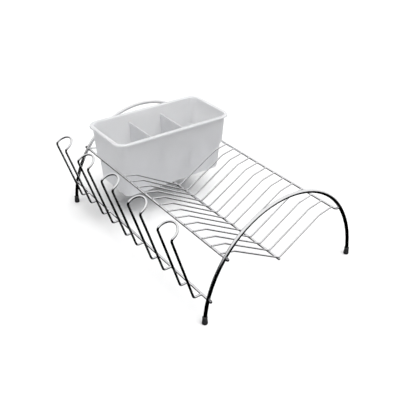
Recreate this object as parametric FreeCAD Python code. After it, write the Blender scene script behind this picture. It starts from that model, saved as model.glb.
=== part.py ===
import FreeCAD, Part
import math
import os

from FreeCAD import Vector

# Dish drying rack: two bent end arches on rubber feet carry three rails.  The
# two upper rails and a low spine carry a trough of bent plate wires, the low
# outer rail carries five cup holders, and a cutlery caddy hangs in the open
# bay at the far end.  X runs along the rails towards the near arch, Y runs
# across the rack towards the hooked rail, Z is up and the floor is Z = 0.
# The pieces are drawn about the middle of the arches and moved at the end, so
# that the origin is the middle of the whole footprint.  All sizes are
# millimetres.

os.makedirs("parts", exist_ok=True)

# ---- end arches ----------------------------------------------------------
arch_spacing = 459.0            # between the planes of the two arches
arch_span = 330.0               # between the leg centrelines at the floor
arch_height = 184.5             # crown centreline above the floor
arch_rod_d = 6.4
shoulder_angle = 40.0           # where the side arc runs into the crown arc

# ---- rubber feet ---------------------------------------------------------
foot_height = 14.5
foot_floor = 3.0                # rubber under the end of the rod
foot_base_d = 10.2
foot_top_d = 9.2
foot_sole_r = 1.8
foot_rim_r = 0.9
foot_fit = 0.05                 # radial, between rod and rubber

# ---- rails ---------------------------------------------------------------
rail_d = 4.5
rail_height = 116.5             # both upper rails
cup_rail_height = 47.6
hook_rail_inset = 10.4          # hooked rail inboard of its arch centreline
hook_bend_r = 4.6
hook_depth = 1.0                # hook spigot past the arch centreline
spigot_d = 3.0
spigot_fit = 0.05               # radial, between a spigot and its hole

# ---- cap nuts on the ends of the two straight rails ----------------------
nut_across = 6.0                # across the flats
nut_hex_length = 2.8
nut_length = 6.4
nut_dome_d = 5.6
nut_grip = 4.0                  # length of spigot inside the nut

# ---- plate wires ---------------------------------------------------------
wire_d = 3.0
plate_wire_count = 13
end_wire_gap = 8.3              # outermost plate wires inside the arch planes
wire_overhang = 1.5             # wire end past the centreline of its rail
crest_inset = 25.5              # crest inboard of the straight rail
crest_height = 114.2
valley_offset = 2.7             # spine off the middle of the two upper rails
valley_height = 57.5            # where the two slopes would meet
shelf_inset = 31.4              # upper bend inboard of the hooked rail
shelf_height = 111.3
hook_wire_rise = 1.0            # wire end above the centreline of the hooked rail
crest_bend_r = 12.0
valley_bend_r = 8.0
shelf_bend_r = 16.0

# ---- cup holders ---------------------------------------------------------
cup_wire_d = 4.0
cup_holder_count = 5
cup_leg_spacing = 37.6
cup_near_margin = 17.0          # outer leg of the near holder to the near arch
cup_far_margin = 54.0           # outer leg of the far holder to the far arch
cup_spur = 15.9                 # rail centreline out to the foot of the legs
cup_lean = 40.7                 # legs lean outwards by this much
cup_rise = 128.0                # over this height
cup_head_tilt = 58.5            # head turned in from upright, degrees
cup_head_flat = 0.2             # straight stretch between the neck bend and the head
cup_foot_bend_r = 5.0
cup_neck_bend_r = 6.4

# ---- cutlery caddy -------------------------------------------------------
caddy_depth = 121.4             # body below the rim, along the rails
caddy_wall = 2.2
caddy_floor = 2.4
caddy_rim_height = 182.0
caddy_bottom_gap = 3.0          # above the spine
caddy_seat_gap = 0.3            # between its ledges and the rails
caddy_ledge_overhang = 1.0      # ledge past the rail centreline
caddy_rail_clearance = 1.7      # lower body inside the rails
caddy_far_gap = 10.3            # rim to the far plate wire
caddy_near_gap = 2.7            # body to the nearest plate wire
upper_draft = 3.2               # upper body narrows by this on each side
lower_draft = 4.5
rim_width = 5.6
rim_depth = 3.8
rim_thickness = 1.6
corner_r = 17.5
corner_r_bottom = 15.5
caddy_foot_r = 6.0
divider_thickness = 2.0
divider_drop = 19.0             # divider tops below the rim
drain_hole_d = 4.0
drain_columns = 4
drain_rows = 4

# ---- values that follow from the ones above ------------------------------
half_spacing = arch_spacing / 2.0
half_span = arch_span / 2.0
arch_r = arch_rod_d / 2.0
rail_r = rail_d / 2.0
wire_r = wire_d / 2.0
cup_wire_r = cup_wire_d / 2.0

shoulder = math.radians(shoulder_angle)
radius_step = (arch_height - half_span) / (math.sin(shoulder) + math.cos(shoulder) - 1.0)
crown_radius = half_span - radius_step * (1.0 - math.cos(shoulder))
side_radius = crown_radius + radius_step
side_centre_y = half_span - side_radius
crown_centre_z = arch_height - crown_radius
shoulder_z = side_radius * math.sin(shoulder)


def arch_y(z, offset=0.0):
    """Distance of the arch, or of a curve offset outwards from it, at height z."""
    if z < shoulder_z:
        return side_centre_y + math.sqrt((side_radius + offset) ** 2 - z * z)
    return math.sqrt((crown_radius + offset) ** 2 - (z - crown_centre_z) ** 2)


left_rail_y = -arch_y(rail_height)
right_rail_y = arch_y(rail_height) - hook_rail_inset
cup_rail_y = -arch_y(cup_rail_height)
trough_middle_y = (left_rail_y + right_rail_y) / 2.0
valley_y = trough_middle_y + valley_offset

end_wire_x = half_spacing - end_wire_gap
caddy_body_far_x = -end_wire_x + caddy_far_gap + rim_width
caddy_body_near_x = caddy_body_far_x + caddy_depth
caddy_x = (caddy_body_far_x + caddy_body_near_x) / 2.0
bay_wire_x = caddy_body_near_x + caddy_near_gap + wire_r
wire_pitch = (end_wire_x - bay_wire_x) / (plate_wire_count - 1)

slope_left = math.atan2(crest_height - valley_height, valley_y - (left_rail_y + crest_inset))
slope_right = math.atan2(shelf_height - valley_height, (right_rail_y - shelf_inset) - valley_y)
valley_half_turn = (slope_left + slope_right) / 2.0
valley_lift = valley_bend_r * (1.0 / math.cos(valley_half_turn) - 1.0)
spine_z = valley_height + valley_lift - wire_r - rail_r
spine_half_length = end_wire_x + rail_r

cup_pitch = (arch_spacing - cup_near_margin - cup_far_margin - cup_leg_spacing) / (cup_holder_count - 1)
first_cup_x = -half_spacing + cup_far_margin + cup_leg_spacing / 2.0

ledge_z = rail_height + rail_r + caddy_seat_gap
ledge_half = (right_rail_y - left_rail_y) / 2.0 + caddy_ledge_overhang
lower_half = (right_rail_y - left_rail_y) / 2.0 - rail_r - caddy_rail_clearance
caddy_bottom_z = spine_z + rail_r + caddy_bottom_gap


# ---- helpers -------------------------------------------------------------
pieces = {}


def joined(shapes):
    """One solid out of several that run into each other."""
    whole = shapes[0].multiFuse(shapes[1:]).removeSplitter()
    return whole.Solids[0] if len(whole.Solids) == 1 else whole


def corner_points(before, corner, after, radius):
    """Start, middle and end of the arc that rounds one corner of a path."""
    back = (before - corner).normalize()
    ahead = (after - corner).normalize()
    half_angle = back.getAngle(ahead) / 2.0
    reach = radius / math.tan(half_angle)
    bisector = (back + ahead).normalize()
    centre = corner + bisector * (radius / math.sin(half_angle))
    return corner + back * reach, centre - bisector * radius, corner + ahead * reach


def rounded_edges(points, radii):
    """Straight runs through points, with an arc of the given radius at each corner."""
    edges = []
    start = points[0]
    for index, radius in enumerate(radii, 1):
        first, middle, last = corner_points(points[index - 1], points[index], points[index + 1], radius)
        edges.append(Part.LineSegment(start, first).toShape())
        edges.append(Part.Arc(first, middle, last).toShape())
        start = last
    edges.append(Part.LineSegment(start, points[-1]).toShape())
    return edges


def swept_rod(edges, diameter):
    """Round rod along a smooth run of edges."""
    path = Part.Wire(edges)
    first = edges[0]
    start = first.valueAt(first.FirstParameter)
    tangent = first.tangentAt(first.FirstParameter)
    ring = Part.Wire([Part.makeCircle(diameter / 2.0, start, tangent)])
    return path.makePipeShell([ring], True, False)


def cylinder(start, end, diameter):
    """Round bar between two points."""
    axis = end - start
    return Part.makeCylinder(diameter / 2.0, axis.Length, start, axis)


# ---- end arches and feet -------------------------------------------------
def side_point(side, z):
    return Vector(0, side * arch_y(z), z)


def arch_edges(bottom_z):
    """Centreline of an arch in the plane X = 0, from one leg over to the other."""
    middle_z = (bottom_z + shoulder_z) / 2.0
    up = Part.Arc(side_point(-1, bottom_z), side_point(-1, middle_z), side_point(-1, shoulder_z))
    over = Part.Arc(side_point(-1, shoulder_z), Vector(0, 0, arch_height), side_point(1, shoulder_z))
    down = Part.Arc(side_point(1, shoulder_z), side_point(1, middle_z), side_point(1, bottom_z))
    return [up.toShape(), over.toShape(), down.toShape()]


def make_arch(x):
    rod = swept_rod(arch_edges(foot_floor), arch_rod_d)
    rod.translate(Vector(x, 0, 0))
    bore_d = spigot_d + 2.0 * spigot_fit
    reach = arch_rod_d
    holes = []
    for y, z in ((left_rail_y, rail_height), (cup_rail_y, cup_rail_height)):
        holes.append(cylinder(Vector(x - reach, y, z), Vector(x + reach, y, z), bore_d))
    hook_end_y = arch_y(rail_height) + hook_depth + spigot_fit
    holes.append(cylinder(Vector(x, right_rail_y, rail_height), Vector(x, hook_end_y, rail_height), bore_d))
    return rod.cut(Part.makeCompound(holes)).Solids[0]


def make_foot(x, side):
    """Tapered rubber cap, bored to the bend of the leg that stands in it."""
    y = side * half_span
    cup = Part.makeCone(foot_base_d / 2.0, foot_top_d / 2.0, foot_height)
    rims = [edge for edge in cup.Edges if isinstance(edge.Curve, Part.Circle)]
    bottom = [edge for edge in rims if edge.CenterOfMass.z < foot_height / 2.0]
    top = [edge for edge in rims if edge.CenterOfMass.z > foot_height / 2.0]
    cup = cup.makeFillet(foot_sole_r, bottom).makeFillet(foot_rim_r, top)
    cup.translate(Vector(x, y, 0))
    leg = swept_rod(arch_edges(foot_floor), arch_rod_d + 2.0 * foot_fit)
    leg.translate(Vector(x, 0, 0))
    return cup.cut(leg).Solids[0]


# ---- rails and nuts ------------------------------------------------------
def make_straight_rail(y, z):
    """Rail with a shoulder against each arch and a spigot through it."""
    shoulder_x = half_spacing - arch_r
    spigot_x = half_spacing + arch_r + nut_grip
    bar = cylinder(Vector(-shoulder_x, y, z), Vector(shoulder_x, y, z), rail_d)
    spigot = cylinder(Vector(-spigot_x, y, z), Vector(spigot_x, y, z), spigot_d)
    return joined([bar, spigot])


def make_hook_rail():
    """Rail whose ends turn outwards and enter the inner side of each arch."""
    shoulder_y = arch_y(rail_height + rail_r, -arch_r)
    tip_y = arch_y(rail_height) + hook_depth
    points = [
        Vector(-half_spacing, shoulder_y, rail_height),
        Vector(-half_spacing, right_rail_y, rail_height),
        Vector(half_spacing, right_rail_y, rail_height),
        Vector(half_spacing, shoulder_y, rail_height),
    ]
    sections = [swept_rod(rounded_edges(points, [hook_bend_r, hook_bend_r]), rail_d)]
    for x in (-half_spacing, half_spacing):
        root = Vector(x, shoulder_y - rail_r / 2.0, rail_height)
        sections.append(cylinder(root, Vector(x, tip_y, rail_height), spigot_d))
    return joined(sections)


def make_spine():
    start = Vector(-spine_half_length, valley_y, spine_z)
    end = Vector(spine_half_length, valley_y, spine_z)
    return cylinder(start, end, rail_d)


def make_cap_nut(direction, y, z):
    """Hexagon nut with a domed closed end, seated on the outside of an arch."""
    corner_reach = nut_across / math.sqrt(3.0)
    corners = []
    for step in range(7):
        angle = math.radians(60.0 * step)
        corners.append(Vector(0, corner_reach * math.cos(angle), corner_reach * math.sin(angle)))
    hexagon = Part.Face(Part.makePolygon(corners)).extrude(Vector(nut_hex_length, 0, 0))
    dome_r = nut_dome_d / 2.0
    neck = Part.makeCylinder(dome_r, nut_length - dome_r, Vector(0, 0, 0), Vector(1, 0, 0))
    dome = Part.makeSphere(dome_r, Vector(nut_length - dome_r, 0, 0))
    grip = Part.makeCylinder(spigot_d / 2.0 + spigot_fit, nut_grip, Vector(0, 0, 0), Vector(1, 0, 0))
    nut = joined([hexagon, neck, dome]).cut(grip).Solids[0]
    if direction < 0:
        nut = nut.mirror(Vector(0, 0, 0), Vector(1, 0, 0))
    nut.translate(Vector(direction * (half_spacing + arch_r), y, z))
    return nut


# ---- plate wires ---------------------------------------------------------
def make_plate_wire(x):
    """Trough wire: over the straight rail, down to the spine, up to the hooked rail."""
    start_z = rail_height + rail_r + wire_r
    end_z = rail_height + hook_wire_rise
    points = [
        Vector(x, left_rail_y - wire_overhang, start_z),
        Vector(x, left_rail_y + crest_inset, crest_height),
        Vector(x, valley_y, valley_height),
        Vector(x, right_rail_y - shelf_inset, shelf_height),
        Vector(x, right_rail_y, end_z),
    ]
    rod = swept_rod(rounded_edges(points, [crest_bend_r, valley_bend_r, shelf_bend_r]), wire_d)
    reach = Vector(wire_d, 0, 0)
    rails = []
    for y in (left_rail_y, right_rail_y):
        middle = Vector(x, y, rail_height)
        rails.append(cylinder(middle - reach, middle + reach, rail_d))
    wire = rod.cut(Part.makeCompound(rails))
    return max(wire.Solids, key=lambda solid: solid.Volume)


# ---- cup holders ---------------------------------------------------------
def make_cup_holder(x):
    """Hairpin of wire: two spurs, two leaning legs and a round head turned in."""
    half = cup_leg_spacing / 2.0
    foot_y = cup_rail_y - cup_spur
    neck_y = foot_y - cup_lean
    neck_z = cup_rail_height + cup_rise
    tilt = math.radians(cup_head_tilt)
    up_head = Vector(0, math.sin(tilt), math.cos(tilt))
    neck_turn = tilt + math.atan2(cup_lean, cup_rise)
    straight = cup_neck_bend_r * math.tan(neck_turn / 2.0) + cup_head_flat

    def side(sign):
        leg_x = x + sign * half
        neck = Vector(leg_x, neck_y, neck_z)
        points = [
            Vector(leg_x, cup_rail_y, cup_rail_height),
            Vector(leg_x, foot_y, cup_rail_height),
            neck,
            neck + up_head * straight,
        ]
        return rounded_edges(points, [cup_foot_bend_r, cup_neck_bend_r]), points[-1]

    left_edges, left_top = side(-1)
    right_edges, right_top = side(1)
    crown = Vector(x, neck_y, neck_z) + up_head * (straight + half)
    head = Part.Arc(left_top, crown, right_top).toShape()
    ordered = Part.sortEdges(left_edges + [head] + right_edges)[0]
    rod = swept_rod(ordered, cup_wire_d)
    reach = Vector(cup_leg_spacing, 0, 0)
    middle = Vector(x, cup_rail_y, cup_rail_height)
    rail = cylinder(middle - reach, middle + reach, rail_d)
    holder = rod.cut(rail)
    return max(holder.Solids, key=lambda solid: solid.Volume)


# ---- cutlery caddy -------------------------------------------------------
def rounded_rectangle(half_x, half_y, radius, z):
    """Closed outline about the middle of the caddy at height z."""
    inner_x = half_x - radius
    inner_y = half_y - radius
    diagonal = radius * math.sqrt(0.5)
    corners = []
    for sign_x, sign_y in ((1, 1), (-1, 1), (-1, -1), (1, -1)):
        centre = Vector(caddy_x + sign_x * inner_x, trough_middle_y + sign_y * inner_y, z)
        on_x = centre + Vector(sign_x * radius, 0, 0)
        on_y = centre + Vector(0, sign_y * radius, 0)
        middle = centre + Vector(sign_x * diagonal, sign_y * diagonal, 0)
        corners.append((on_x, middle, on_y) if sign_x * sign_y > 0 else (on_y, middle, on_x))
    ring = []
    for index, (first, middle, last) in enumerate(corners):
        ring.append(Part.Arc(first, middle, last).toShape())
        following = corners[(index + 1) % 4][0]
        ring.append(Part.LineSegment(last, following).toShape())
    return Part.Wire(ring)


def block(low, high):
    """Tapered block between two outlines."""
    return Part.makeLoft([low, high], True, True)


def caddy_sections(inset):
    """Half sizes and corner radius of the body at its four levels, inset by a wall."""
    half = caddy_depth / 2.0 - inset
    top_x = half
    ledge_x = half - upper_draft
    bottom_x = ledge_x - lower_draft
    top_y = ledge_half + upper_draft - inset
    ledge_y = ledge_half - inset
    step_y = lower_half - inset
    bottom_y = lower_half - lower_draft - inset
    radius = corner_r - inset
    bottom_radius = corner_r_bottom - inset
    return (
        (top_x, top_y, radius),
        (ledge_x, ledge_y, radius),
        (ledge_x, step_y, radius),
        (bottom_x, bottom_y, bottom_radius),
    )


def caddy_form(inset, bottom_z, ledge_level, top_z):
    """Upper and lower tapered blocks of the body, as one solid."""
    top, ledge, step, bottom = caddy_sections(inset)
    upper = block(rounded_rectangle(*ledge, ledge_level), rounded_rectangle(*top, top_z))
    lower = block(rounded_rectangle(*bottom, bottom_z), rounded_rectangle(*step, ledge_level))
    low_edges = [edge for edge in lower.Edges if edge.BoundBox.ZMax < bottom_z + 0.01]
    lower = lower.makeFillet(caddy_foot_r - inset, low_edges)
    return joined([upper, lower])


def caddy_rim():
    """Flat flange round the top with a lip turned down at its edge."""
    top = caddy_sections(0.0)[0]
    half_x, half_y, radius = top
    outer = (half_x + rim_width, half_y + rim_width, radius + rim_width)
    under = tuple(value - rim_thickness for value in outer)
    low_z = caddy_rim_height - rim_depth
    shelf_z = caddy_rim_height - rim_thickness
    solid = block(rounded_rectangle(*outer, low_z), rounded_rectangle(*outer, caddy_rim_height))
    upper_edges = [edge for edge in solid.Edges if edge.BoundBox.ZMin > caddy_rim_height - 0.01]
    solid = solid.makeFillet(rim_thickness / 2.0, upper_edges)
    hollow = block(rounded_rectangle(*under, low_z), rounded_rectangle(*under, shelf_z))
    return solid.cut(hollow)


def drain_holes(compartment_middles, half_x, half_y):
    """Round holes through the floor, a grid of them in each compartment."""
    holes = []
    step_x = 2.0 * half_x / (drain_columns + 1)
    step_y = 2.0 * half_y / (drain_rows + 1)
    for middle in compartment_middles:
        for column in range(drain_columns):
            for row in range(drain_rows):
                x = caddy_x - half_x + step_x * (column + 1)
                y = middle - half_y + step_y * (row + 1)
                low = Vector(x, y, caddy_bottom_z - 1.0)
                high = Vector(x, y, caddy_bottom_z + caddy_floor + 1.0)
                holes.append(cylinder(low, high, drain_hole_d))
    return holes


def make_caddy():
    outside = caddy_form(0.0, caddy_bottom_z, ledge_z, caddy_rim_height)
    mid_wall = caddy_form(caddy_wall / 2.0, caddy_bottom_z, ledge_z, caddy_rim_height)
    floor_z = caddy_bottom_z + caddy_floor
    inside = caddy_form(caddy_wall, floor_z, ledge_z + caddy_floor, caddy_rim_height)
    bottom_half_x, bottom_half_y = caddy_sections(caddy_wall)[3][:2]
    compartment = (2.0 * bottom_half_y - 2.0 * divider_thickness) / 3.0
    divider_step = (compartment + divider_thickness) / 2.0
    divider_z = caddy_rim_height - divider_drop
    dividers = []
    for sign in (-1, 1):
        y = trough_middle_y + sign * divider_step - divider_thickness / 2.0
        corner = Vector(caddy_body_far_x, y, floor_z - caddy_floor / 2.0)
        size = (caddy_depth, divider_thickness, divider_z - corner.z)
        dividers.append(Part.makeBox(*size, corner).common(mid_wall))
    shell = joined([outside, caddy_rim()]).cut(inside)
    middles = [trough_middle_y + side * (compartment + divider_thickness) for side in (-1, 0, 1)]
    holes = drain_holes(middles, bottom_half_x, compartment / 2.0)
    caddy = shell.multiFuse(dividers)
    return caddy.cut(Part.makeCompound(holes)).Solids[0]


# ---- all the pieces ------------------------------------------------------
for place, sign in (("near", 1), ("far", -1)):
    plane_x = sign * half_spacing
    pieces[place + "_arch"] = make_arch(plane_x)
    pieces[place + "_left_foot"] = make_foot(plane_x, -1)
    pieces[place + "_right_foot"] = make_foot(plane_x, 1)
    pieces["left_rail_" + place + "_nut"] = make_cap_nut(sign, left_rail_y, rail_height)
    pieces["cup_rail_" + place + "_nut"] = make_cap_nut(sign, cup_rail_y, cup_rail_height)

pieces["left_rail"] = make_straight_rail(left_rail_y, rail_height)
pieces["cup_rail"] = make_straight_rail(cup_rail_y, cup_rail_height)
pieces["hook_rail"] = make_hook_rail()
pieces["spine_rail"] = make_spine()

for number in range(plate_wire_count):
    pieces["plate_wire_%02d" % (number + 1)] = make_plate_wire(end_wire_x - number * wire_pitch)
pieces["far_plate_wire"] = make_plate_wire(-end_wire_x)

for number in range(cup_holder_count):
    pieces["cup_holder_%d" % (number + 1)] = make_cup_holder(first_cup_x + number * cup_pitch)

pieces["cutlery_caddy"] = make_caddy()

footprint = [shape.optimalBoundingBox() for shape in pieces.values()]
low_y = min(box.YMin for box in footprint)
high_y = max(box.YMax for box in footprint)
to_origin = Vector(0, -(low_y + high_y) / 2.0, 0)

for name, shape in pieces.items():
    shape.translate(to_origin)
    shape.exportStep("parts/" + name + ".step")

print("wire pitch", round(wire_pitch, 2), "cup pitch", round(cup_pitch, 2))
print("caddy bottom", round(caddy_bottom_z, 2), "spine", round(spine_z, 2))
print("moved by", round(to_origin.y, 3), "along Y")
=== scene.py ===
import math

import bmesh
import bpy
from mathutils import Matrix, Vector


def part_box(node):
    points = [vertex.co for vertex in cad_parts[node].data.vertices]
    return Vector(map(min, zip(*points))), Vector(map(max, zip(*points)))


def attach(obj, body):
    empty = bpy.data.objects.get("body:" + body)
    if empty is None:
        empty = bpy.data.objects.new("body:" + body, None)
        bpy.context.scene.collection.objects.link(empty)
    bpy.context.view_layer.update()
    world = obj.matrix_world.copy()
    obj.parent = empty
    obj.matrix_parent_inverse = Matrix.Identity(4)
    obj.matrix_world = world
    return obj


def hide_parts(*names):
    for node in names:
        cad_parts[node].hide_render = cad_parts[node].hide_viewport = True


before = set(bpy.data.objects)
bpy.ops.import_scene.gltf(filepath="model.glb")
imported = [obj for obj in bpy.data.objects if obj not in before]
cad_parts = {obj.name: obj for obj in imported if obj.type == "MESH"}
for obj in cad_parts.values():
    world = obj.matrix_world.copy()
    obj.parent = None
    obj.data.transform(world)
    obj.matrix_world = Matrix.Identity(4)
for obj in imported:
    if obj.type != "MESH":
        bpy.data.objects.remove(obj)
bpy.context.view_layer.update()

# A chrome dish rack: two bent end arches on rubber feet carry three rails and
# a low spine, thirteen plate wires with one more behind the caddy, a row of
# cup holders and a lift-out cutlery caddy.  Each rod is bent here as it is in
# a workshop: a ring of metal is fed straight and turned about the centre of
# each bend.  Everything is in metres, where the frame's own pieces are.

MM = 0.001

# ---- stock ---------------------------------------------------------------
ARCH_ROD = 6.4 * MM
RAIL_ROD = 4.5 * MM
PLATE_WIRE = 3.0 * MM
CUP_WIRE = 4.0 * MM
ROD_SIDES = 32                  # facets round an arch or a rail
WIRE_SIDES = 24                 # facets round a plate wire or a cup holder
BEND_STEP = math.radians(5)     # turn between two rings in a bend
SHARP_EDGE = math.radians(38)   # edges sharper than this keep their crease
WELDED_APART = 0.002 * MM       # points nearer than this are one

# ---- bends ---------------------------------------------------------------
SHOULDER = math.radians(40)     # where an arch's side arc meets its crown arc
HOOK_BEND = 4.6 * MM
CREST = (25.5 * MM, 114.2 * MM, 12 * MM)     # inboard of the left rail, height, bend
VALLEY = (0, 57.5 * MM, 8 * MM)              # off the spine, height, bend
SHELF = (31.4 * MM, 111.3 * MM, 16 * MM)     # inboard of the hook rail, height, bend
WIRE_OVERHANG = 1.5 * MM        # a plate wire's end outboard of the left rail
HOOK_WIRE_INBOARD = 0.7 * MM    # its other end short of the hook rail's middle
HOOK_WIRE_RISE = 0.86 * MM      # and above it
CUP_LEGS = 37.6 * MM            # between the two legs of a cup holder
CUP_SPUR = 15.9 * MM            # the cup rail to the foot of a leg
CUP_LEAN = 40.7 * MM            # a leg's foot to its neck, outboard
CUP_RISE = 128 * MM             # a leg's foot to its neck, up
CUP_TILT = math.radians(58.5)   # the head's lean from upright, inboard
CUP_FOOT_BEND = 5.0 * MM
CUP_NECK_BEND = 6.4 * MM
CUP_HEAD_FLAT = 0.2 * MM        # straight part between the neck's bend and the head's

# ---- feet and nuts --------------------------------------------------------
FOOT_FIT = 0.05 * MM            # rubber stands off the rod by this
MOUTH_REACH = 0.4 * MM          # what counts as the mouth, round the bore
NUT_CAP = 5.6 * MM              # across the dome
NUT_HEXAGON = 2.8 * MM          # length of the hexagon under it
NUT_CHAMFER = 0.3 * MM

# ---- welds ---------------------------------------------------------------
WELD_FLARE = 1.28               # a butted wire spreads by this at its weld
WELD_SWELL = 1.04               # and by this halfway along it
WELD_LENGTH = 0.9 * MM
CUP_WELD_FLARE = 1.18           # the same for the leg of a cup holder
CUP_WELD_SWELL = 1.06
CUP_WELD_LENGTH = 1.4 * MM
CUP_WELD_SINK = 0.5 * MM        # how deep the leg goes into its rail
BEAD = Vector((2.7, 2.4, 1.05)) * MM         # half sizes of a bead under a crossing

X, Y, Z = (Vector(row) for row in Matrix.Identity(3))


# ---- places read from the frame ------------------------------------------
def middle(node):
    low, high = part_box(node)
    return (low + high) / 2


ARCH_X = middle("near_arch").x
arch_low, arch_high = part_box("near_arch")
ARCH_Y = (arch_low.y + arch_high.y) / 2
LEG_END_Z = arch_low.z
HALF_SPAN = (arch_high.y - arch_low.y - ARCH_ROD) / 2
CROWN_Z = arch_high.z - ARCH_ROD / 2
RADIUS_STEP = (CROWN_Z - HALF_SPAN) / (math.sin(SHOULDER) + math.cos(SHOULDER) - 1)
CROWN_RADIUS = HALF_SPAN - RADIUS_STEP * (1 - math.cos(SHOULDER))
SIDE_RADIUS = CROWN_RADIUS + RADIUS_STEP

LEFT_RAIL = middle("left_rail")
CUP_RAIL = middle("cup_rail")
SPINE = middle("spine_rail")
HOOK_RAIL = Vector((0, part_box("hook_rail")[0].y + RAIL_ROD / 2, middle("hook_rail").z))


# ---- materials -----------------------------------------------------------
GRAIN_DEPTH = 0.05 * MM         # depth of every fine surface texture


def new_material(name):
    """A material with one Principled shader, and a helper that adds and links nodes."""
    material = bpy.data.materials.new(name)
    material.use_nodes = True
    tree = material.node_tree
    shader = tree.nodes["Principled BSDF"]

    def add(kind, links=None, **values):
        node = tree.nodes.new(kind)
        for key, value in values.items():
            if hasattr(node, key):
                setattr(node, key, value)
            else:
                node.inputs[key.replace("_", " ")].default_value = value
        for socket, source in (links or {}).items():
            tree.links.new(source, node.inputs[socket])
        return node

    return material, tree, shader, add


def ramp(node, stops):
    """Sets a colour ramp's stops from (place, colour) pairs."""
    elements = node.color_ramp.elements
    while len(elements) < len(stops):
        elements.new(0.5)
    for element, (place, colour) in zip(elements, stops):
        element.position = place
        element.color = (*colour, 1)


def chrome(name, tint, gloss, ripple):
    """Polished chrome plate: faint cloudiness, fine polishing marks and a slight ripple."""
    material, tree, shader, add = new_material(name)
    place = add("ShaderNodeTexCoord").outputs["Object"]
    cloud = add("ShaderNodeTexNoise", {"Vector": place}, Scale=38.0, Detail=3.0)
    marks = add("ShaderNodeTexNoise", {"Vector": place}, Scale=900.0, Detail=2.0)
    both = add("ShaderNodeMix", data_type="FLOAT")
    both.inputs["Factor"].default_value = 0.35
    tree.links.new(cloud.outputs["Fac"], both.inputs[2])
    tree.links.new(marks.outputs["Fac"], both.inputs[3])
    rough = add("ShaderNodeMapRange", {"Value": both.outputs[0]})
    rough.inputs["From Min"].default_value = 0.3
    rough.inputs["From Max"].default_value = 0.7
    rough.inputs["To Min"].default_value = gloss * 0.7
    rough.inputs["To Max"].default_value = gloss * 1.5
    tone = add("ShaderNodeValToRGB", {"Fac": cloud.outputs["Fac"]})
    ramp(tone, ((0.3, tuple(c * 0.96 for c in tint)), (0.7, tint)))
    bump = add("ShaderNodeBump", {"Height": marks.outputs["Fac"]})
    bump.inputs["Strength"].default_value = ripple
    bump.inputs["Distance"].default_value = GRAIN_DEPTH
    tree.links.new(tone.outputs["Color"], shader.inputs["Base Color"])
    tree.links.new(rough.outputs["Result"], shader.inputs["Roughness"])
    tree.links.new(bump.outputs["Normal"], shader.inputs["Normal"])
    shader.inputs["Metallic"].default_value = 1.0
    return material


def moulded_plastic(name):
    """Pale translucent moulding: very fine texture, faint flow clouding, little gloss."""
    material, tree, shader, add = new_material(name)
    place = add("ShaderNodeTexCoord").outputs["Object"]
    flow = add("ShaderNodeTexNoise", {"Vector": place}, Scale=14.0, Detail=4.0)
    grain = add("ShaderNodeTexNoise", {"Vector": place}, Scale=1500.0, Detail=2.0)
    tone = add("ShaderNodeValToRGB", {"Fac": flow.outputs["Fac"]})
    ramp(tone, ((0.35, (0.605, 0.611, 0.632)), (0.65, (0.625, 0.631, 0.652))))
    rough = add("ShaderNodeMapRange", {"Value": flow.outputs["Fac"]})
    rough.inputs["From Min"].default_value = 0.3
    rough.inputs["From Max"].default_value = 0.7
    rough.inputs["To Min"].default_value = 0.3
    rough.inputs["To Max"].default_value = 0.4
    bump = add("ShaderNodeBump", {"Height": grain.outputs["Fac"]})
    bump.inputs["Strength"].default_value = 0.12
    bump.inputs["Distance"].default_value = GRAIN_DEPTH
    tree.links.new(tone.outputs["Color"], shader.inputs["Base Color"])
    tree.links.new(rough.outputs["Result"], shader.inputs["Roughness"])
    tree.links.new(bump.outputs["Normal"], shader.inputs["Normal"])
    shader.inputs["Specular IOR Level"].default_value = 0.15
    shader.inputs["Subsurface Weight"].default_value = 1.0
    shader.inputs["Subsurface Radius"].default_value = (1.0, 1.0, 1.0)
    shader.inputs["Subsurface Scale"].default_value = 22 * MM
    return material


def moulded_rubber(name):
    """Black rubber: dull, with a dusty bloom and a fine moulded grain."""
    material, tree, shader, add = new_material(name)
    place = add("ShaderNodeTexCoord").outputs["Object"]
    bloom = add("ShaderNodeTexNoise", {"Vector": place}, Scale=320.0, Detail=4.0)
    grain = add("ShaderNodeTexNoise", {"Vector": place}, Scale=3000.0, Detail=1.0)
    tone = add("ShaderNodeValToRGB", {"Fac": bloom.outputs["Fac"]})
    ramp(tone, ((0.35, (0.016, 0.016, 0.017)), (0.75, (0.036, 0.036, 0.038))))
    bump = add("ShaderNodeBump", {"Height": grain.outputs["Fac"]})
    bump.inputs["Strength"].default_value = 0.3
    bump.inputs["Distance"].default_value = GRAIN_DEPTH
    tree.links.new(tone.outputs["Color"], shader.inputs["Base Color"])
    tree.links.new(bump.outputs["Normal"], shader.inputs["Normal"])
    shader.inputs["Roughness"].default_value = 0.52
    return material


def matt_floor(name):
    """Pale matt surface with the faintest mottling."""
    material, tree, shader, add = new_material(name)
    place = add("ShaderNodeTexCoord").outputs["Object"]
    mottle = add("ShaderNodeTexNoise", {"Vector": place}, Scale=3.0, Detail=3.0)
    tone = add("ShaderNodeValToRGB", {"Fac": mottle.outputs["Fac"]})
    ramp(tone, ((0.3, (0.915, 0.915, 0.915)), (0.7, (0.92, 0.92, 0.92))))
    tree.links.new(tone.outputs["Color"], shader.inputs["Base Color"])
    shader.inputs["Roughness"].default_value = 0.9
    shader.inputs["Specular IOR Level"].default_value = 0.1
    return material


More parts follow.
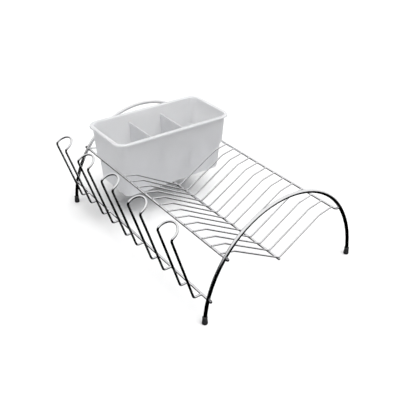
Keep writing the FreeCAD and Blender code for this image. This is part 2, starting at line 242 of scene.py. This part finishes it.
ARCH_CHROME = chrome("polished_arch_chrome", (0.80, 0.80, 0.81), 0.07, 0.05)
RAIL_CHROME = chrome("polished_rail_chrome", (0.78, 0.78, 0.79), 0.09, 0.06)
WIRE_CHROME = chrome("bright_wire_chrome", (0.78, 0.78, 0.79), 0.1, 0.08)
CUP_CHROME = chrome("bright_cup_holder_chrome", (0.78, 0.78, 0.79), 0.09, 0.06)
# The nuts' chrome is tinted dark: painted shade standing in for the dark surround that the domed nuts
# mirror.
NUT_CHROME = chrome("nut_chrome_painted_shade", (0.30, 0.30, 0.31), 0.1, 0.03)
CADDY_PLASTIC = moulded_plastic("white_caddy_plastic")
FOOT_RUBBER = moulded_rubber("black_foot_rubber")


# ---- workshop ------------------------------------------------------------
def edges_in(geometry):
    return [g for g in geometry if isinstance(g, bmesh.types.BMEdge)]


def verts_in(geometry):
    return [g for g in geometry if isinstance(g, bmesh.types.BMVert)]


def facing(at, along):
    """Matrix that stands a shape made about Z at a point, with Z along a direction."""
    return Matrix.Translation(at) @ along.to_track_quat("Z", "Y").to_matrix().to_4x4()


def start_ring(mesh, at, along, diameter, sides):
    """The open end of a rod."""
    verts = bmesh.ops.create_circle(
        mesh, segments=sides, radius=diameter / 2, matrix=facing(at, along)
    )["verts"]
    return list({edge for vert in verts for edge in vert.link_edges})


def feed(mesh, ring, travel, spread=1.0):
    """Feeds the rod straight on, and may spread its end as a weld does."""
    made = bmesh.ops.extrude_edge_only(mesh, edges=ring)["geom"]
    verts = verts_in(made)
    bmesh.ops.translate(mesh, verts=verts, vec=travel)
    centre = sum((v.co for v in verts), Vector()) / len(verts)
    if spread != 1.0:
        bmesh.ops.scale(mesh, verts=verts, vec=(spread,) * 3, space=Matrix.Translation(-centre))
    fresh = set(verts)
    return [edge for edge in edges_in(made) if fresh.issuperset(edge.verts)]


def bend(mesh, ring, centre, axis, angle):
    """Turns the rod's end about the centre of a bend."""
    verts = list({vert for edge in ring for vert in edge.verts})
    steps = max(3, round(abs(angle) / BEND_STEP))
    made = bmesh.ops.spin(
        mesh, geom=verts + ring, cent=centre, axis=axis, angle=angle, steps=steps
    )
    return edges_in(made["geom_last"])


def run(mesh, ring, points, radii):
    """Feeds and bends a rod's end from the first point to the last, round each corner."""
    here = points[0]
    for before, corner, after, radius in zip(points, points[1:], points[2:], radii):
        ahead, onward = (corner - before).normalized(), (after - corner).normalized()
        turn = ahead.angle(onward)
        reach = radius * math.tan(turn / 2)
        axis = ahead.cross(onward).normalized()
        start = corner - ahead * reach
        ring = feed(mesh, ring, start - here)
        ring = bend(mesh, ring, start + axis.cross(ahead) * radius, axis, turn)
        here = corner + onward * reach
    return feed(mesh, ring, points[-1] - here)


def close_ends(mesh, rings, rounding):
    """Fills the ends of a rod and rounds their rims."""
    rims = []
    for ring in rings:
        face = bmesh.ops.edgeloop_fill(mesh, edges=ring)["faces"][0]
        rims += list(face.edges)
    bmesh.ops.bevel(
        mesh, geom=rims, offset=rounding, offset_type="OFFSET", segments=4,
        profile=0.5, affect="EDGES", material=-1,
    )


def turned(mesh, profile, place, rounding, steps=40):
    """Turns a profile of (radius, height) points about its place's Z, corners rounded first."""
    verts = [mesh.verts.new(place @ Vector((radius, 0, height))) for radius, height in profile]
    for pair in zip(verts, verts[1:]):
        mesh.edges.new(pair)
    bmesh.ops.bevel(
        mesh, geom=verts[1:-1], offset=rounding, offset_type="OFFSET", segments=4,
        profile=0.5, affect="VERTICES", material=-1,
    )
    line = [vert for vert in mesh.verts if not vert.link_faces]
    bmesh.ops.spin(
        mesh, geom=line + [edge for edge in mesh.edges if edge.is_wire],
        cent=place.translation, axis=place.col[2].xyz, angle=math.tau, steps=steps, use_merge=True,
    )


def installed(piece, nodes, body="rack"):
    """Shades a piece, hangs it on the body it rides on and hides the nodes it stands for."""
    piece.data.shade_smooth()
    piece.data.set_sharp_from_angle(angle=SHARP_EDGE)
    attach(piece, body)
    if nodes:
        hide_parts(*nodes)


def built(name, mesh, material):
    """Turns a finished mesh into an object."""
    bmesh.ops.remove_doubles(mesh, verts=mesh.verts, dist=WELDED_APART)
    bmesh.ops.dissolve_degenerate(mesh, edges=mesh.edges, dist=WELDED_APART)
    bmesh.ops.recalc_face_normals(mesh, faces=mesh.faces)
    data = bpy.data.meshes.new(name)
    mesh.to_mesh(data)
    mesh.free()
    data.materials.append(material)
    made = bpy.data.objects.new(name, data)
    bpy.context.scene.collection.objects.link(made)
    return made


# ---- arches, nuts and feet -----------------------------------------------
def arch(node):
    """One rod bent in three arcs, from the end of one leg over to the other."""
    x = middle(node).x
    mesh = bmesh.new()
    lean = math.asin(LEG_END_Z / SIDE_RADIUS)
    left_centre = Vector((x, ARCH_Y - HALF_SPAN + SIDE_RADIUS, 0))
    crown_centre = Vector((x, ARCH_Y, CROWN_Z - CROWN_RADIUS))
    right_centre = Vector((x, ARCH_Y + HALF_SPAN - SIDE_RADIUS, 0))
    start = left_centre + Vector((0, -math.cos(lean), math.sin(lean))) * SIDE_RADIUS
    heading = Vector((0, math.sin(lean), math.cos(lean)))
    first = start_ring(mesh, start, heading, ARCH_ROD, ROD_SIDES)
    ring = bend(mesh, first, left_centre, -X, SHOULDER - lean)
    ring = bend(mesh, ring, crown_centre, -X, math.pi - 2 * SHOULDER)
    ring = bend(mesh, ring, right_centre, -X, SHOULDER - lean)
    close_ends(mesh, [first, ring], 0.5 * MM)
    installed(built(node + "_rod", mesh, ARCH_CHROME), [node])


def foot(node):
    """Tapered rubber cap with a rounded sole and a thicker mouth, bored for the rod."""
    low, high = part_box(node)
    place = Matrix.Translation(((low.x + high.x) / 2, (low.y + high.y) / 2, 0))
    side = math.copysign(1, place.translation.y - ARCH_Y)
    base = (high.x - low.x) / 2
    bore = ARCH_ROD / 2 + FOOT_FIT
    height = high.z
    neck = base - 0.9 * MM
    band = neck + 0.3 * MM
    profile = (
        (0, 0.5 * MM), (base * 0.55, 0.5 * MM), (base * 0.62, 0), (base * 0.86, 0),
        (base, base * 0.3), (neck, height - 3.0 * MM), (band, height - 2.6 * MM),
        (band, height - 0.6 * MM), (neck - 0.3 * MM, height), (bore, height),
        (bore, LEG_END_Z), (0, LEG_END_Z),
    )
    mesh = bmesh.new()
    turned(mesh, profile, place, 0.35 * MM)
    lean = SIDE_RADIUS - math.sqrt(SIDE_RADIUS ** 2 - height ** 2)
    mouth = [vert for vert in mesh.verts if vert.co.z > height / 2
             and (vert.co.xy - place.translation.xy).length < bore + MOUTH_REACH]
    bmesh.ops.translate(mesh, verts=mouth, vec=Y * (-side * lean))
    installed(built(node + "_rubber", mesh, FOOT_RUBBER), [node])


def cap_nut(node):
    """Domed nut: a round cap that grows out of a chamfered hexagon seated on the arch."""
    low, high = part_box(node)
    outward = X if low.x > 0 else -X
    at = middle(node)
    at.x = low.x if low.x > 0 else high.x
    length = high.x - low.x
    cap = NUT_CAP / 2
    arc = [(cap * math.cos(turn), length - cap + cap * math.sin(turn))
           for turn in (math.radians(9 * step) for step in range(11))]
    mesh = bmesh.new()
    turned(mesh, [(0, 0.5 * MM), (cap, 0.5 * MM)] + arc, facing(at, outward), 0.02 * MM)
    corner_radius = (high.z - low.z) / math.sqrt(3)
    seat = facing(at + outward * NUT_HEXAGON / 2, outward)
    hexagon = bmesh.ops.create_cone(
        mesh, cap_ends=True, segments=6, depth=NUT_HEXAGON,
        radius1=corner_radius, radius2=corner_radius,
        matrix=seat @ Matrix.Rotation(math.radians(30), 4, "Z"),
    )["verts"]
    bmesh.ops.bevel(
        mesh, geom=list({edge for vert in hexagon for edge in vert.link_edges}),
        offset=NUT_CHAMFER, offset_type="OFFSET", segments=3, profile=0.5,
        affect="EDGES", material=-1,
    )
    installed(built(node + "_chrome", mesh, NUT_CHROME), [node])


# ---- rails ---------------------------------------------------------------
def straight_rail(node):
    """Rail let into both arches, where the cap nuts hold it."""
    at = middle(node)
    reach = ARCH_X - ARCH_ROD / 2 + 1.2 * MM
    mesh = bmesh.new()
    first = start_ring(mesh, Vector((-reach, at.y, at.z)), X, RAIL_ROD, ROD_SIDES)
    last = feed(mesh, first, X * (2 * reach))
    close_ends(mesh, [first, last], 0.3 * MM)
    installed(built(node + "_rod", mesh, RAIL_CHROME), [node])


def hook_rail():
    """Rail whose ends turn outwards into the inner side of each arch."""
    entry_y = arch_y_at(HOOK_RAIL.z) - ARCH_ROD / 2 + 1.0 * MM
    y, z = HOOK_RAIL.y, HOOK_RAIL.z
    points = [Vector((-ARCH_X, entry_y, z)), Vector((-ARCH_X, y, z)),
              Vector((ARCH_X, y, z)), Vector((ARCH_X, entry_y, z))]
    mesh = bmesh.new()
    first = start_ring(mesh, points[0], -Y, RAIL_ROD, ROD_SIDES)
    last = run(mesh, first, points, (HOOK_BEND, HOOK_BEND))
    close_ends(mesh, [first, last], 0.3 * MM)
    installed(built("hook_rail_rod", mesh, RAIL_CHROME), ["hook_rail"])


def spine_rail():
    """Low rail with rounded ends, under the bottom of every plate wire."""
    low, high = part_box("spine_rail")
    mesh = bmesh.new()
    first = start_ring(mesh, Vector((low.x, SPINE.y, SPINE.z)), X, RAIL_ROD, ROD_SIDES)
    last = feed(mesh, first, X * (high.x - low.x))
    close_ends(mesh, [first, last], 1.2 * MM)
    installed(built("spine_rail_rod", mesh, RAIL_CHROME), ["spine_rail"])


def arch_y_at(height):
    """The right leg's centreline at a height under the shoulder."""
    return ARCH_Y + HALF_SPAN - SIDE_RADIUS + math.sqrt(SIDE_RADIUS ** 2 - height ** 2)


# ---- plate wires and cup holders -----------------------------------------
def plate_wire(node):
    """Over the left rail, down to the spine and up to the hook rail."""
    x = middle(node).x
    rail_top = LEFT_RAIL.z + (RAIL_ROD + PLATE_WIRE) / 2
    points = [
        Vector((x, LEFT_RAIL.y - WIRE_OVERHANG, rail_top)),
        Vector((x, LEFT_RAIL.y + CREST[0], CREST[1])),
        Vector((x, SPINE.y, VALLEY[1])),
        Vector((x, HOOK_RAIL.y - SHELF[0], SHELF[1])),
        Vector((x, HOOK_RAIL.y - HOOK_WIRE_INBOARD, HOOK_RAIL.z + HOOK_WIRE_RISE)),
    ]
    into_rail = RAIL_ROD / 2 - HOOK_WIRE_INBOARD
    landing = (points[4] - points[3]).normalized() * (into_rail + WELD_LENGTH)
    points[4] = points[4] - landing
    mesh = bmesh.new()
    first = start_ring(mesh, points[0], points[1] - points[0], PLATE_WIRE, WIRE_SIDES)
    ring = run(mesh, first, points, (CREST[2], VALLEY[2], SHELF[2]))
    ring = feed(mesh, ring, landing * 0.5, WELD_SWELL)
    last = feed(mesh, ring, landing * 0.5, WELD_FLARE)
    close_ends(mesh, [first, last], 0.45 * MM)
    installed(built(node + "_rod", mesh, WIRE_CHROME), [node])


def cup_holder(node):
    """Half a hairpin, from its weld on the cup rail to the crown of its head, and its mirror."""
    x = middle(node).x
    leg_x = x + CUP_LEGS / 2
    foot_y = CUP_RAIL.y - CUP_SPUR
    neck = Vector((leg_x, foot_y - CUP_LEAN, CUP_RAIL.z + CUP_RISE))
    up_head = Vector((0, math.sin(CUP_TILT), math.cos(CUP_TILT)))
    neck_turn = CUP_TILT + math.atan2(CUP_LEAN, CUP_RISE)
    head_start = neck + up_head * (CUP_NECK_BEND * math.tan(neck_turn / 2) + CUP_HEAD_FLAT)
    butt = Vector((leg_x, CUP_RAIL.y - RAIL_ROD / 2 + CUP_WELD_SINK, CUP_RAIL.z))
    collar = butt - Y * CUP_WELD_LENGTH
    points = [collar, Vector((leg_x, foot_y, CUP_RAIL.z)), neck, head_start]
    mesh = bmesh.new()
    first = start_ring(mesh, butt, -Y, CUP_WIRE * CUP_WELD_FLARE, WIRE_SIDES)
    ring = feed(mesh, first, (collar - butt) * 0.4, CUP_WELD_SWELL / CUP_WELD_FLARE)
    ring = feed(mesh, ring, (collar - butt) * 0.6, 1 / CUP_WELD_SWELL)
    ring = run(mesh, ring, points, (CUP_FOOT_BEND, CUP_NECK_BEND))
    across = up_head.cross(-X).normalized()
    bend(mesh, ring, head_start - X * CUP_LEGS / 2, across, math.pi / 2)
    bmesh.ops.edgeloop_fill(mesh, edges=first)
    bmesh.ops.mirror(
        mesh, geom=mesh.verts[:] + mesh.edges[:] + mesh.faces[:], axis="X",
        matrix=Matrix.Translation((-x, 0, 0)), merge_dist=0.01 * MM,
    )
    installed(built(node + "_rod", mesh, CUP_CHROME), [node])


# ---- welds ---------------------------------------------------------------
def weld_beads(name, places):
    """A little melted bead at each crossing, one flattened drop under each wire."""
    mesh = bmesh.new()
    for at in places:
        bmesh.ops.create_uvsphere(
            mesh, u_segments=14, v_segments=8, radius=1,
            matrix=Matrix.Translation(at) @ Matrix.Diagonal(BEAD).to_4x4(),
        )
    installed(built(name, mesh, WIRE_CHROME), [])


def wire_welds():
    """Beads where the plate wires cross the left rail and the spine."""
    wires = sorted(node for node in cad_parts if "plate_wire" in node)
    for name, rail in (("left_rail_welds", LEFT_RAIL), ("spine_welds", SPINE)):
        top = rail.z + RAIL_ROD / 2
        weld_beads(name, [Vector((middle(node).x, rail.y, top)) for node in wires])


# ---- cutlery caddy -------------------------------------------------------
CADDY_LOW, CADDY_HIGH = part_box("cutlery_caddy")
CADDY = (CADDY_LOW + CADDY_HIGH) / 2
RIM_WIDTH = 5.6 * MM            # how far the rim stands out all round
RIM_DEPTH = 3.8 * MM            # height of its turned-down edge
RIM_WALL = 1.6 * MM
WALL = 2.2 * MM
FLOOR_WALL = 2.4 * MM
UPPER_DRAFT = 3.2 * MM          # how far the wall draws in, rim to ledge
LOWER_DRAFT = 4.5 * MM          # and from the ledge to the sole
RAIL_CLEARANCE = 0.3 * MM       # the ledge stands off the rails by this
LEDGE_HEIGHT = LEFT_RAIL.z + RAIL_ROD / 2 + RAIL_CLEARANCE
LEDGE_STEP = 4.95 * MM          # how far the body steps in at the ledge, on the two ends
CORNER = 17.5 * MM
BOTTOM_CORNER = 15.5 * MM
FOOT_ROUND = 6.0 * MM           # between the sole and the wall
DIVIDER_WALL = 2.0 * MM
DIVIDER_DROP = 19.0 * MM        # a divider's top below the rim
DIVIDER_ROUND = 0.7 * MM
DRAIN_HOLE = 4.0 * MM
DRAIN_FLARE = 0.9 * MM          # a drain hole widens by this at both faces
DRAIN_FLARE_DEPTH = 0.4 * MM
DRAIN_OVERCUT = 0.5 * MM        # the drill runs past both faces
DRAIN_COLUMNS = 4
DRAIN_ROWS = 4
CORNER_STEPS = 12


def first_ring(mesh, half_x, half_y, radius, z):
    """The sole: a rectangle about the caddy's middle, its corners rounded."""
    verts = bmesh.ops.create_grid(
        mesh, x_segments=1, y_segments=1, size=1,
        matrix=Matrix.Translation((CADDY.x, CADDY.y, z)) @ Matrix.Diagonal((half_x, half_y, 1, 1)),
    )["verts"]
    verts = bmesh.ops.bevel(
        mesh, geom=verts, offset=radius, offset_type="OFFSET", segments=CORNER_STEPS,
        profile=0.5, affect="VERTICES", material=-1,
    )["verts"]
    return list(verts[0].link_faces[0].edges)


def next_ring(mesh, ring, was, now):
    """Draws the moulding on from one ring to the next, each rounded corner about its own centre."""
    made = bmesh.ops.extrude_edge_only(mesh, edges=ring)["geom"]
    verts = verts_in(made)
    for sign_x, sign_y in ((1, 1), (1, -1), (-1, -1), (-1, 1)):
        corner = [v for v in verts
                  if (v.co.x - CADDY.x) * sign_x > 0 and (v.co.y - CADDY.y) * sign_y > 0]
        centres = [
            Vector((CADDY.x + sign_x * (half_x - radius), CADDY.y + sign_y * (half_y - radius), z))
            for half_x, half_y, radius, z in (was, now)
        ]
        growth = now[2] / was[2]
        bmesh.ops.scale(
            mesh, verts=corner, vec=(growth, growth, 1), space=Matrix.Translation(-centres[0])
        )
        bmesh.ops.translate(mesh, verts=corner, vec=centres[1] - centres[0])
    fresh = set(verts)
    return [edge for edge in edges_in(made) if fresh.issuperset(edge.verts)]


def rounded_corner(before, corner, after, radius, steps=5):
    """Sections of the arc that rounds one right-angled corner of the caddy's profile."""
    before, corner, after = Vector(before), Vector(corner), Vector(after)
    back, ahead = before - corner, after - corner
    start = corner + back * (radius / max(map(abs, back)))
    end = corner + ahead * (radius / max(map(abs, ahead)))
    weight = math.sqrt(0.5)
    arc = []
    for t in (step / steps for step in range(steps + 1)):
        a, b, c = (1 - t) ** 2, 2 * weight * t * (1 - t), t ** 2
        arc.append((start * a + corner * b + end * c) / (a + b + c))
    return arc


def caddy_shell():
    """Outside and inside of the moulding, ring by ring from the sole round the rim to the floor."""
    top_x = (CADDY_HIGH.x - CADDY_LOW.x) / 2 - RIM_WIDTH
    top_y = (CADDY_HIGH.y - CADDY_LOW.y) / 2 - RIM_WIDTH
    ledge_x, ledge_y = top_x - UPPER_DRAFT, top_y - UPPER_DRAFT
    step_y = ledge_y - LEDGE_STEP
    sole_x, sole_y = ledge_x - LOWER_DRAFT, step_y - LOWER_DRAFT
    sole, rim = CADDY_LOW.z, CADDY_HIGH.z
    lip = RIM_WIDTH - RIM_WALL
    inner_ledge = LEDGE_HEIGHT + FLOOR_WALL
    inset = FOOT_ROUND + 2 * MM
    # half x, half y, corner radius, height and rounding of each corner of the profile
    profile = (
        ((sole_x - inset, sole_y - inset, BOTTOM_CORNER - inset, sole), 0),
        ((sole_x, sole_y, BOTTOM_CORNER, sole), FOOT_ROUND),
        ((ledge_x, step_y, CORNER, LEDGE_HEIGHT), 0.9 * MM),
        ((ledge_x, ledge_y, CORNER, LEDGE_HEIGHT), 0.7 * MM),
        ((top_x, top_y, CORNER, rim - RIM_WALL), 0.9 * MM),
        ((top_x + lip, top_y + lip, CORNER + lip, rim - RIM_WALL), 0.6 * MM),
        ((top_x + lip, top_y + lip, CORNER + lip, rim - RIM_DEPTH), 0.35 * MM),
        ((top_x + RIM_WIDTH, top_y + RIM_WIDTH, CORNER + RIM_WIDTH, rim - RIM_DEPTH), 0.35 * MM),
        ((top_x + RIM_WIDTH, top_y + RIM_WIDTH, CORNER + RIM_WIDTH, rim), 1.6 * MM),
        ((top_x - WALL, top_y - WALL, CORNER - WALL, rim), 1.6 * MM),
        ((ledge_x - WALL, ledge_y - WALL, CORNER - WALL, inner_ledge), 0.9 * MM),
        ((ledge_x - WALL, step_y - WALL, CORNER - WALL, inner_ledge), 0.9 * MM),
        ((sole_x - WALL, sole_y - WALL, BOTTOM_CORNER - WALL, sole + FLOOR_WALL), FOOT_ROUND - WALL),
        ((sole_x - inset, sole_y - inset, BOTTOM_CORNER - inset, sole + FLOOR_WALL), 0),
    )
    rings = [profile[0][0]]
    for (before, _), (corner, rounding), (after, _) in zip(profile, profile[1:], profile[2:]):
        rings += rounded_corner(before, corner, after, rounding)
    rings.append(profile[-1][0])
    mesh = bmesh.new()
    ring = first_ring(mesh, *rings[0])
    for was, now in zip(rings, rings[1:]):
        ring = next_ring(mesh, ring, was, now)
    bmesh.ops.edgeloop_fill(mesh, edges=ring)
    return built("cutlery_caddy_moulding", mesh, CADDY_PLASTIC)


def divider(place_y):
    """Upright plate across the caddy, let into its walls, its top edge rounded."""
    top = CADDY_HIGH.z - DIVIDER_DROP
    top_x = (CADDY_HIGH.x - CADDY_LOW.x) / 2 - RIM_WIDTH
    ledge_x = top_x - UPPER_DRAFT
    bury = WALL / 2
    share = (top - LEDGE_HEIGHT) / (CADDY_HIGH.z - LEDGE_HEIGHT)
    levels = (
        (CADDY_LOW.z + FLOOR_WALL / 2, ledge_x - LOWER_DRAFT - bury),
        (LEDGE_HEIGHT, ledge_x - bury),
        (top, ledge_x + UPPER_DRAFT * share - bury),
    )
    mesh = bmesh.new()
    sole = bmesh.ops.create_grid(
        mesh, x_segments=1, y_segments=1, size=1,
        matrix=Matrix.Translation((CADDY.x, place_y, levels[0][0]))
        @ Matrix.Diagonal((levels[0][1], DIVIDER_WALL / 2, 1, 1)),
    )["verts"]
    face = sole[0].link_faces[0]
    for (low, was_x), (high, half_x) in zip(levels, levels[1:]):
        made = bmesh.ops.extrude_face_region(mesh, geom=[face])["geom"]
        ring = verts_in(made)
        bmesh.ops.translate(mesh, verts=ring, vec=Z * (high - low))
        bmesh.ops.scale(
            mesh, verts=ring, vec=(half_x / was_x, 1, 1), space=Matrix.Translation(-CADDY)
        )
        stale, face = face, next(g for g in made if isinstance(g, bmesh.types.BMFace))
        if stale.is_valid and low > levels[0][0]:
            bmesh.ops.delete(mesh, geom=[stale], context="FACES_ONLY")
    along = [edge for edge in mesh.edges
             if min(v.co.z for v in edge.verts) > top - 0.1 * MM
             and abs(edge.verts[0].co.x - edge.verts[1].co.x) > WALL]
    bmesh.ops.bevel(
        mesh, geom=along, offset=DIVIDER_ROUND, offset_type="OFFSET", segments=4,
        profile=0.5, affect="EDGES", material=-1,
    )
    return built("caddy_divider", mesh, CADDY_PLASTIC)


def drain_drills(middles, half_x, half_y):
    """One tool for every drain hole: narrow in the middle of the floor, flared at both faces."""
    mesh = bmesh.new()
    hole = DRAIN_HOLE / 2
    mouth = hole + DRAIN_FLARE
    profile = (
        (0, -DRAIN_OVERCUT), (mouth, -DRAIN_OVERCUT), (hole, DRAIN_FLARE_DEPTH),
        (hole, FLOOR_WALL - DRAIN_FLARE_DEPTH), (mouth, FLOOR_WALL + DRAIN_OVERCUT),
        (0, FLOOR_WALL + DRAIN_OVERCUT),
    )
    step_x = 2 * half_x / (DRAIN_COLUMNS + 1)
    step_y = 2 * half_y / (DRAIN_ROWS + 1)
    for middle_y in middles:
        for column in range(1, DRAIN_COLUMNS + 1):
            for row in range(1, DRAIN_ROWS + 1):
                x = CADDY.x - half_x + step_x * column
                y = middle_y - half_y + step_y * row
                place = Matrix.Translation((x, y, CADDY_LOW.z))
                turned(mesh, profile, place, 0.05 * MM, steps=20)
    return built("drain_drills", mesh, CADDY_PLASTIC)


def combined(piece, tool, operation):
    """Joins a tool to a piece or cuts it away, and removes the tool."""
    change = piece.modifiers.new("change", "BOOLEAN")
    change.operation = operation
    change.solver = "EXACT"
    change.object = tool
    bpy.context.view_layer.update()
    seen = piece.evaluated_get(bpy.context.evaluated_depsgraph_get())
    result = bpy.data.meshes.new_from_object(seen)
    piece.modifiers.clear()
    piece.data = result
    bpy.data.objects.remove(tool)


def caddy():
    """The whole moulding: shell, two dividers and the drain holes of its three compartments."""
    top_y = (CADDY_HIGH.y - CADDY_LOW.y) / 2 - RIM_WIDTH
    sole_y = top_y - UPPER_DRAFT - LEDGE_STEP - LOWER_DRAFT - WALL
    sole_x = (CADDY_HIGH.x - CADDY_LOW.x) / 2 - RIM_WIDTH - UPPER_DRAFT - LOWER_DRAFT - WALL
    compartment = (2 * sole_y - 2 * DIVIDER_WALL) / 3
    moulding = caddy_shell()
    for side in (-1, 1):
        combined(moulding, divider(CADDY.y + side * (compartment + DIVIDER_WALL) / 2), "UNION")
    middles = [CADDY.y + side * (compartment + DIVIDER_WALL) for side in (-1, 0, 1)]
    combined(moulding, drain_drills(middles, sole_x, compartment / 2), "DIFFERENCE")
    installed(moulding, ["cutlery_caddy"], "caddy")


# ---- the whole rack ------------------------------------------------------
MAKERS = (
    ("_foot", foot),
    ("_nut", cap_nut),
    ("plate_wire", plate_wire),
    ("cup_holder_", cup_holder),
)
for kind, make in MAKERS:
    for node in sorted(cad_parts):
        if kind in node:
            make(node)
for node in ("near_arch", "far_arch"):
    arch(node)
for node in ("left_rail", "cup_rail"):
    straight_rail(node)
hook_rail()
spine_rail()
wire_welds()
caddy()


# ---- floor, light and camera ---------------------------------------------
SKY_LIGHT = 4.2                 # soft overhead light that falls on the dull surfaces
SKY_FILL = 0.14                 # what reaches them from everywhere else
SKY_MIDDLE = Vector((0.3, 0.08, 1)).normalized()
SKY_EDGE = (0.80, 0.86)         # cosines from its middle between which it fades out
BACKDROP_LIGHT = 1.1            # the plain white behind the floor
WHITE = (1, 1, 1, 1)
MIRRORED_LIGHT = 1.05           # bright part of the surround that the chrome shows
MIRRORED_EDGE = (-0.05, 0.45)   # heights between which it comes up from dark
BRIGHT_SIDE = math.radians(113) # where the bright part reaches further down
BRIGHT_DIP = 0.52               # by how much
DARK_LIFT = 0.22                # opposite, where the dark part reaches further up
LENS = 55.86                    # millimetres, on a sensor 36 mm wide
CAMERA_AT = (0.83058, -0.59262, 0.69772)
CAMERA_TURN = math.radians(53.850)           # from +Y towards -X
CAMERA_TILT = math.radians(31.626)           # below the horizon
CAMERA_ROLL = math.radians(0.483)


def worktop():
    """Pale floor, which the chrome does not mirror."""
    mesh = bmesh.new()
    bmesh.ops.create_grid(mesh, x_segments=8, y_segments=8, size=6)
    made = built("worktop", mesh, matt_floor("pale_worktop"))
    made.visible_glossy = False


def studio():
    """A soft ceiling over dull surfaces, and for the chrome a surround that is dark below."""
    world = bpy.data.worlds.new("studio")
    world.use_nodes = True
    tree = world.node_tree
    tree.nodes.clear()
    bpy.context.scene.world = world

    def add(kind, *sources, **values):
        node = tree.nodes.new(kind)
        for key, value in values.items():
            setattr(node, key, value)
        for socket, source in enumerate(sources):
            if hasattr(source, "is_output"):
                tree.links.new(source, node.inputs[socket])
            else:
                node.inputs[socket].default_value = source
        return node.outputs

    def fade(source, edge, low, high):
        return add("ShaderNodeMapRange", source, *edge, low, high, interpolation_type="SMOOTHSTEP")[0]

    toward = add("ShaderNodeTexCoord")["Generated"]
    rays = add("ShaderNodeLightPath")
    height = add("ShaderNodeSeparateXYZ", toward)["Z"]
    side = (math.cos(BRIGHT_SIDE), math.sin(BRIGHT_SIDE), 0)
    lean = add("ShaderNodeVectorMath", toward, side, operation="DOT_PRODUCT")["Value"]
    dip = add("ShaderNodeMath", lean, 0.0, operation="MAXIMUM")[0]
    dip = add("ShaderNodeMath", dip, 2.0, operation="POWER")[0]
    level = add("ShaderNodeMath", dip, BRIGHT_DIP, height, operation="MULTIPLY_ADD")[0]
    lift = add("ShaderNodeMath", lean, 0.0, operation="MINIMUM")[0]
    level = add("ShaderNodeMath", lift, DARK_LIFT, level, operation="MULTIPLY_ADD")[0]
    mirrored = add("ShaderNodeBackground", WHITE, fade(level, MIRRORED_EDGE, 0.0, MIRRORED_LIGHT))[0]
    overhead = add("ShaderNodeVectorMath", toward, SKY_MIDDLE, operation="DOT_PRODUCT")["Value"]
    sky = add("ShaderNodeBackground", WHITE, fade(overhead, SKY_EDGE, SKY_FILL, SKY_LIGHT))[0]
    backdrop = add("ShaderNodeBackground", WHITE, BACKDROP_LIGHT)[0]
    lit = add("ShaderNodeMixShader", rays["Is Glossy Ray"], sky, mirrored)[0]
    seen = add("ShaderNodeMixShader", rays["Is Camera Ray"], lit, backdrop)[0]
    add("ShaderNodeOutputWorld", seen)


def camera():
    """The viewpoint: turned from +Y towards -X, tilted down, with a hair of roll."""
    made = bpy.data.objects.new("camera", bpy.data.cameras.new("camera"))
    bpy.context.scene.collection.objects.link(made)
    made.data.sensor_width = 36
    made.data.lens = LENS
    made.data.clip_end = 50
    made.matrix_world = (
        Matrix.Translation(CAMERA_AT)
        @ Matrix.Rotation(CAMERA_TURN, 4, "Z")
        @ Matrix.Rotation(math.radians(90) - CAMERA_TILT, 4, "X")
        @ Matrix.Rotation(CAMERA_ROLL, 4, "Z")
    )
    bpy.context.scene.camera = made


worktop()
studio()
camera()
bpy.context.scene.view_settings.view_transform = "Standard"
